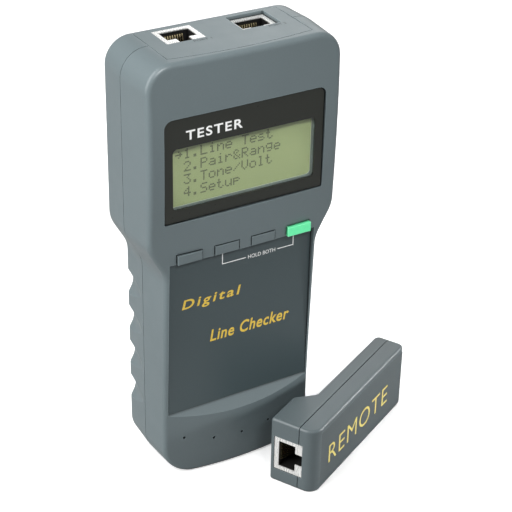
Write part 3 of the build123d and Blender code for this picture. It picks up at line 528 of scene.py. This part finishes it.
# The last entry of each row lightens the edges: rubbing from handling, and a painted highlight standing
# in for the light that rounded edges catch.
plastic("case_grey", grey(0.15, COOL), 0.10, 2400.0, 0.38, 0.16, 0.25, (grey(0.30, COOL), 0.0005, 0.5))
plastic("remote_grey", grey(0.115, COOL), 0.12, 2600.0, 0.36, 0.18, 0.25, (grey(0.27, COOL), 0.0004, 0.5))
plastic("key_grey", grey(0.15, COOL), 0.18, 1600.0, 0.5, 0.2, 0.5, (grey(0.35, COOL), 0.0003, 0.8))
plastic("key_green", KEY_GREEN, 0.08, 1600.0, 0.42, 0.2, 0.3, (RUBBED_LIT_GREEN, 0.0004, 0.9))
for name, level, rough in (
    ("switch_black", 0.02, 0.45),
    ("socket_black", 0.008, 0.4),
    ("header_black", 0.02, 0.5),
    ("chip_black", 0.018, 0.55),
    ("buzzer_black", 0.02, 0.4),
    ("plunger_white", 0.7, 0.4),
):
    finish(name, grain_and_gap_shade, {"Colour": grey(level), "Mottle": 0.2, "Roughness": rough})
print("plastics:", len(finishes))

# %% [markdown]
# The panel and the remote's label are polycarbonate sheets printed from behind: one even dark
# grey under a smooth skin. The border around the display is printed on the window in a
# blacker grey.

# %% Printed sheets
finish(
    "panel_print",
    printed_ink,
    {"Colour": grey(0.07, PANEL_TINT), "Unevenness": 0.06, "Roughness": 0.34},
    bump=0.05,
)
finish(
    "remote_label",
    printed_ink,
    {"Colour": grey(0.085, COOL), "Unevenness": 0.08, "Roughness": 0.36},
    bump=0.05,
)
finish("border_print", printed_ink, {"Colour": grey(0.02, BORDER_TINT), "Roughness": 0.3}, bump=0.05)
finish("ink_yellow", printed_ink, {"Colour": (0.72, 0.50, 0.07, 1), "Roughness": 0.4}, bump=0.1)
finish("ink_pale_yellow", printed_ink, {"Colour": (0.72, 0.60, 0.16, 1), "Roughness": 0.4}, bump=0.1)
finish("ink_white", printed_ink, {"Colour": (0.85, 0.86, 0.85, 1), "Roughness": 0.4}, bump=0.1)
finish("ink_grey", printed_ink, {"Colour": grey(0.085, COOL), "Roughness": 0.6}, bump=0.1)
finish("cell_sleeve", printed_ink, {"Colour": (0.03, 0.06, 0.2, 1), "Roughness": 0.25}, bump=0.05)
finish("capacitor_sleeve", printed_ink, {"Colour": (0.01, 0.02, 0.05, 1), "Roughness": 0.25}, bump=0.05)
print("printed finishes done")

# %% [markdown]
# The display is a reflective film behind glass, in a dull yellow-green. Its dots are a dark
# olive, because liquid crystal never turns black.

# %% Display finishes
finish(
    "lcd_face",
    printed_ink,
    {"Colour": (0.28, 0.33, 0.16, 1), "Unevenness": 0.04, "Roughness": 0.3},
    bump=0.02,
)
finish("lcd_dot", printed_ink, {"Colour": (0.06, 0.07, 0.035, 1), "Roughness": 0.35}, bump=0.02)
finish("light_guide", printed_ink, {"Colour": (0.85, 0.86, 0.8, 1), "Roughness": 0.3}, bump=0.02)
finish("adhesive", printed_ink, {"Colour": grey(0.05), "Roughness": 0.7}, bump=0.2)
print("display finishes done")

# %% [markdown]
# Metals: plated sheet for the socket shields and the display's frame, gold on the contact
# wires, nickel on springs and cans, zinc on screws. Each row gives a colour, a roughness and
# how metallic it is. Matt tin scatters light almost like white paint, so it is only half so.

# %% Metals
for name, colour, rough, metallic in (
    ("tinned_shield", (0.86, 0.86, 0.84, 1), 0.28, 0.55),
    ("lcd_metal", (0.6, 0.6, 0.6, 1), 0.35, 1.0),
    ("contact_gold", (0.95, 0.80, 0.48, 1), 0.2, 1.0),
    ("can_steel", (0.7, 0.7, 0.7, 1), 0.3, 1.0),
    ("spring_steel", (0.72, 0.72, 0.7, 1), 0.25, 1.0),
    ("screw_zinc", (0.6, 0.62, 0.65, 1), 0.35, 1.0),
):
    shader = finish(name, rolled_metal, {"Colour": colour, "Roughness": rough}, bump=0.08)
    shader.inputs["Metallic"].default_value = metallic
print("metals done")

# %% [markdown]
# Inside the case there are two green circuit boards and some insulated wires. They show only
# when the battery cover is off, but they are finished all the same.

# %% Boards and wires
BOARD_GREEN = (0.01, 0.12, 0.04, 1)
finish("board_green", printed_ink, {"Colour": BOARD_GREEN, "Unevenness": 0.4, "Roughness": 0.3})
finish("lead_red", grain_and_gap_shade, {"Colour": (0.5, 0.02, 0.015, 1), "Roughness": 0.45})
finish("lead_black", grain_and_gap_shade, {"Colour": grey(0.02), "Roughness": 0.45})
print("board and wire finishes done")

# %% [markdown]
# The window is clear acrylic. Light has to reach the display through it, so rays that carry
# light or shadow pass straight through, and only what the eye sees is refracted.

# %% Clear window
window = bpy.data.materials.new("clear_window")
window.use_nodes = True
window_tree = window.node_tree
window_shader = window_tree.nodes["Principled BSDF"]
window_shader.inputs["Base Color"].default_value = (0.97, 0.99, 0.97, 1)
window_shader.inputs["Roughness"].default_value = 0.02
window_shader.inputs["IOR"].default_value = 1.49
window_shader.inputs["Transmission Weight"].default_value = 1.0
smear = add_node(window_tree, "ShaderNodeGroup", node_tree=printed_ink)
smear_relief = add_node(window_tree, "ShaderNodeBump")
smear_relief.inputs["Strength"].default_value = 0.01
smear_relief.inputs["Distance"].default_value = 0.00001
window_tree.links.new(smear.outputs["Height"], smear_relief.inputs["Height"])
window_tree.links.new(smear_relief.outputs["Normal"], window_shader.inputs["Normal"])
mix_by_ray(
    window_tree,
    "Is Shadow Ray",
    window_shader.outputs["BSDF"],
    add_node(window_tree, "ShaderNodeBsdfTransparent").outputs["BSDF"],
    window_tree.nodes["Material Output"].inputs["Surface"],
)
finishes["clear_window"] = window
print("finishes:", len(finishes))

# %% [markdown]
# ## Dressing the CAD nodes
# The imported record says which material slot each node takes. The finishes carry the same
# names, so one loop dresses all of them.

# %% Dress the nodes
node_slots = {part["node"]: part["material_slot"] for part in frame["record"]["subparts"]}
for node, piece in cad.items():
    piece.data.materials.clear()
    piece.data.materials.append(finishes[node_slots[node]])
print("dressed", len(node_slots), "nodes")

# %% [markdown]
# ## Lettering
# Words are text curves, turned into meshes before they are placed. A function scales a word to
# its printed height, leans it if it is slanted, and lays it on a plane given by a corner and
# two directions. A hair's breadth of ink stands in front of the sheet, so that it never
# flickers with it. All the words are plain ones that name a function.

# %% Helpers for flat prints
INK = 0.03 * MM
WORD_STEPS = 5  # straight pieces in each curved part of a letter


def add_piece(name, vertices, faces, finish_name, body, slot):
    """Mesh object from vertices in metres and faces, dressed and riding a body; slot is not used."""
    mesh = bpy.data.meshes.new(name)
    mesh.from_pydata(np.asarray(vertices).tolist(), [], [list(map(int, face)) for face in faces])
    mesh.materials.append(finishes[finish_name])
    mesh.update()
    piece = bpy.data.objects.new(name, mesh)
    scene.collection.objects.link(piece)
    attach(piece, body)
    return piece


def on_plane(points, corner, across, upward):
    """Flat points (two columns, mm) laid on a plane: corner + x * across + y * upward."""
    points = np.asarray(points) * MM
    x, y = points[:, :1], points[:, 1:2]
    return np.asarray(corner) + x * np.asarray(across) + y * np.asarray(upward)


def word_outline(words, wide, tall, bold, slant, spacing):
    """Vertices (mm, lower left at 0, 0) and faces of a word of a given width and height.

    y = y0 scaled to the height, then x = x0 + slant * y scaled to the width.
    """
    curve = bpy.data.curves.new("word", "FONT")
    curve.body = words
    curve.resolution_u = WORD_STEPS
    curve.offset = bold
    curve.space_character = spacing
    holder = bpy.data.objects.new("word", curve)
    scene.collection.objects.link(holder)
    evaluated = holder.evaluated_get(bpy.context.evaluated_depsgraph_get())
    mesh = bpy.data.meshes.new_from_object(evaluated)
    points = np.empty(len(mesh.vertices) * 3)
    mesh.vertices.foreach_get("co", points)
    points = points.reshape(-1, 3)[:, :2]
    faces = [tuple(face.vertices) for face in mesh.polygons]
    bpy.data.meshes.remove(mesh)
    bpy.data.objects.remove(holder)
    points -= points.min(axis=0)
    points *= tall / points[:, 1].max()
    points[:, 0] += slant * points[:, 1]
    points[:, 0] *= wide / points[:, 0].max()
    return points, faces


def print_word(name, words, box, plane, looks, bold=0.0, slant=0.0, spacing=1.0):
    """Word printed on a plane.

    box is its left, low, width and height in millimetres. looks are its finish, body and slot.
    """
    left, low, wide, tall = box
    points, faces = word_outline(words, wide, tall, bold, slant, spacing)
    add_piece(name, on_plane(points + (left, low), *plane), faces, *looks)
    print(name, "has", len(faces), "faces")


def front_plane_of(node):
    """Plane just in front of a node: its corner, and the directions across and upward."""
    low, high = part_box(node)
    return (0, low[1] - INK, 0), (1, 0, 0), (0, 0, 1)


panel_plane = front_plane_of("front_panel")
border_plane = front_plane_of("window_border")
glass_plane = front_plane_of("lcd_glass")
top_plane = ((0, 0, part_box("top_plate")[1][2] + INK), (1, 0, 0), (0, 1, 0))
print("panel print at y =", round(panel_plane[0][1] / MM, 2), "mm")

# %% [markdown]
# The panel carries two slanted yellow words, and the window's border a white one. Beside
# each socket a small word is printed on the top plate in a darker grey, easy to miss as on
# the real one. Each word's box is its left, its low edge, its width and its height, all in
# millimetres in its plane.

# %% Words on the case
UPPER_BOX = (-26.5, 77.6, 27.0, 5.6)
LOWER_BOX = (-13.5, 60.3, 37.0, 5.6)
WINDOW_BOX = (-25.4, 153.5, 24.0, 3.9)
LEFT_PORT_BOX = (-14.0, -2.6, 7.5, 1.5)
RIGHT_PORT_BOX = (18.0, -2.6, 7.5, 1.5)
SLANT = 0.2
HEAVY = 0.02
ON_PANEL = ("ink_yellow", "case", "panel_print")
ON_BORDER = ("ink_white", "case", "border_print")
ON_TOP = ("ink_grey", "case", "case_grey")
print_word("panel_word_upper", "Digital", UPPER_BOX, panel_plane, ON_PANEL, HEAVY, SLANT, 1.3)
print_word("panel_word_lower", "Line Checker", LOWER_BOX, panel_plane, ON_PANEL, HEAVY, SLANT, 1.1)
print_word("window_word", "TESTER", WINDOW_BOX, border_plane, ON_BORDER, HEAVY, 0.0, 1.2)
print_word("socket_word_left", "PORT 1", LEFT_PORT_BOX, top_plane, ON_TOP)
print_word("socket_word_right", "PORT 2", RIGHT_PORT_BOX, top_plane, ON_TOP)

# %% [markdown]
# A fine white line joins two of the keys, with a small word in its gap. A ribbon is a path
# given a width: each point is pushed both ways along the line that halves the corner there.

# %% Bracket between two keys


def ribbon(points, width):
    """Flat ribbon along a path: vertices are p + n * w / 2 and p - n * w / 2 at each point p.

    n is the corner's mitre: the sum of the two neighbouring unit normals, divided by one plus
    the cosine of the turn.
    """
    points = np.asarray(points, float)
    runs = np.diff(points, axis=0)
    runs /= np.linalg.norm(runs, axis=1)[:, None]
    normals = np.stack([-runs[:, 1], runs[:, 0]], axis=1)
    before = np.vstack([normals[:1], normals])
    after = np.vstack([normals, normals[-1:]])
    mitre = (before + after) / (1 + np.sum(before * after, axis=1))[:, None]
    vertices = np.vstack([points + mitre * width / 2, points - mitre * width / 2])
    count = len(points)
    index = np.arange(count - 1)
    faces = np.stack([index + count, index + count + 1, index + 1, index], axis=1)
    return vertices, faces


def middle_x(node):
    """Middle of a node from side to side, in millimetres."""
    low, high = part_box(node)
    return (low[0] + high[0]) / 2 / MM


BRACKET_WIDTH = 0.35
BRACKET_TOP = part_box("front_panel")[1][2] / MM - 1.2
BRACKET_LOW = BRACKET_TOP - 5.5
BREAK_LEFT = 2.5
BREAK_RIGHT = 17.0
WORD_TALL = 1.7
WORD_MARGIN = 1.0
WHITE_ON_PANEL = ("ink_white", "case", "panel_print")
for name, start, end in (
    ("left", middle_x("grey_button_2"), BREAK_LEFT),
    ("right", middle_x("green_button"), BREAK_RIGHT),
):
    corners = [(start, BRACKET_TOP), (start, BRACKET_LOW), (end, BRACKET_LOW)]
    points, faces = ribbon(corners, BRACKET_WIDTH)
    if name == "right":
        faces = faces[:, ::-1]
    vertices = on_plane(points, *panel_plane)
    add_piece(f"bracket_{name}", vertices, faces, *WHITE_ON_PANEL)
word_wide = BREAK_RIGHT - BREAK_LEFT - 2 * WORD_MARGIN
word_box = (BREAK_LEFT + WORD_MARGIN, BRACKET_LOW - WORD_TALL / 2, word_wide, WORD_TALL)
print_word("bracket_word", "HOLD BOTH", word_box, panel_plane, WHITE_ON_PANEL)

# %% [markdown]
# ## The display's characters
# The display has four rows of sixteen characters, each on a grid of five by eight square
# dots. A glyph is written as seven rows of zeros and ones, so a new letter is easy to add.

# %% Glyphs
GLYPHS = {
    ">": "00000 00100 00010 11111 00010 00100 00000",
    "1": "00100 01100 00100 00100 00100 00100 01110",
    "2": "01110 10001 00001 00010 00100 01000 11111",
    "3": "11111 00010 00100 00010 00001 10001 01110",
    "4": "00010 00110 01010 10010 11111 00010 00010",
    ".": "00000 00000 00000 00000 00000 01100 01100",
    "/": "00000 00001 00010 00100 01000 10000 00000",
    "&": "01100 10010 10100 01000 10101 10010 01101",
    "L": "10000 10000 10000 10000 10000 10000 11111",
    "P": "11110 10001 10001 11110 10000 10000 10000",
    "R": "11110 10001 10001 11110 10100 10010 10001",
    "S": "01111 10000 10000 01110 00001 00001 11110",
    "T": "11111 00100 00100 00100 00100 00100 00100",
    "V": "10001 10001 10001 10001 10001 01010 00100",
    "a": "00000 00000 01110 00001 01111 10001 01111",
    "e": "00000 00000 01110 10001 11111 10000 01110",
    "g": "00000 01111 10001 10001 01111 00001 01110",
    "i": "00100 00000 01100 00100 00100 00100 01110",
    "l": "01100 00100 00100 00100 00100 00100 01110",
    "n": "00000 00000 10110 11001 10001 10001 10001",
    "o": "00000 00000 01110 10001 10001 10001 01110",
    "p": "00000 00000 11110 10001 11110 10000 10000",
    "r": "00000 00000 10110 11001 10000 10000 10000",
    "s": "00000 00000 01110 10000 01110 00001 11110",
    "t": "01000 01000 11100 01000 01000 01001 00110",
    "u": "00000 00000 10001 10001 10001 10011 01101",
}
MENU = [">1.Line Test", " 2.Pair&Range", " 3.Tone/Volt", " 4.Setup"]
print("glyphs:", len(GLYPHS))

# %% [markdown]
# Every glyph is unpacked to an array whose ones are its lit dots. Each lit dot becomes one
# small square just in front of the glass, and all of them together are one mesh.

# %% Dots
DOT = 0.55
DOT_PITCH = 0.60
LETTER_PITCH = 3.55
ROW_PITCH = 5.35
COLUMNS = 16
ROWS = 4
DOT_ROWS = 8
TEXT_SHIFT = 0.3


def lit_dots(menu):
    """Lower left corners of the lit dots, in millimetres from the text's upper left corner.

    x = column * letter pitch + dot column * dot pitch, and y = -(row * row pitch + dot row *
    dot pitch).
    """
    corners = []
    for row, line in enumerate(menu):
        for column, letter in enumerate(line):
            if letter == " ":
                continue
            pattern = np.array([[int(dot) for dot in part] for part in GLYPHS[letter].split()])
            down, along = np.nonzero(pattern)
            x = column * LETTER_PITCH + along * DOT_PITCH
            y = -(row * ROW_PITCH + (down + 1) * DOT_PITCH)
            corners.append(np.stack([x, y], axis=1))
    return np.concatenate(corners)


glass_low, glass_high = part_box("lcd_glass")
middle_z = (glass_low[2] + glass_high[2]) / 2 / MM
text_left = -(COLUMNS * LETTER_PITCH) / 2 + TEXT_SHIFT
text_top = middle_z + ((ROWS - 1) * ROW_PITCH + DOT_ROWS * DOT_PITCH) / 2
dots = lit_dots(MENU) + (text_left, text_top)
square = np.array([(0, 0), (DOT, 0), (DOT, DOT), (0, DOT)])
dot_points = (dots[:, None, :] + square[None, :, :]).reshape(-1, 2)
dot_faces = np.arange(len(dot_points)).reshape(-1, 4)
ON_GLASS = ("lcd_dot", "case", "lcd_face")
add_piece("display_text", on_plane(dot_points, *glass_plane), dot_faces, *ON_GLASS)
print("lit dots:", len(dots))

# %% [markdown]
# ## The remote's word
# The remote stands turned on the floor, so its label's plane is found from the turn that its
# joint slides along: the slide points straight out of the label's face.

# %% Word on the remote
LABEL_BOX = (7.0, 9.0, 52.0, 9.0)
LABEL_THIN = -0.008
joints = frame["record"]["behaviour"]["joints"]
slide = next(joint for joint in joints if joint["name"] == "remote_carry")
out_of_label = np.array(slide["axis"], float)
along_label = np.array([-out_of_label[1], out_of_label[0], 0.0])
label_vertices = np.array([tuple(v.co) for v in cad["remote_label"].data.vertices])
label_face = (label_vertices @ out_of_label).max() + INK
label_start = (label_vertices @ along_label).min()
label_plane = (out_of_label * label_face + along_label * label_start, along_label, (0, 0, 1))
ON_LABEL = ("ink_pale_yellow", "remote_unit", "remote_label")
print_word("remote_word", "REMOTE", LABEL_BOX, label_plane, ON_LABEL, LABEL_THIN, 0.0, 1.1)
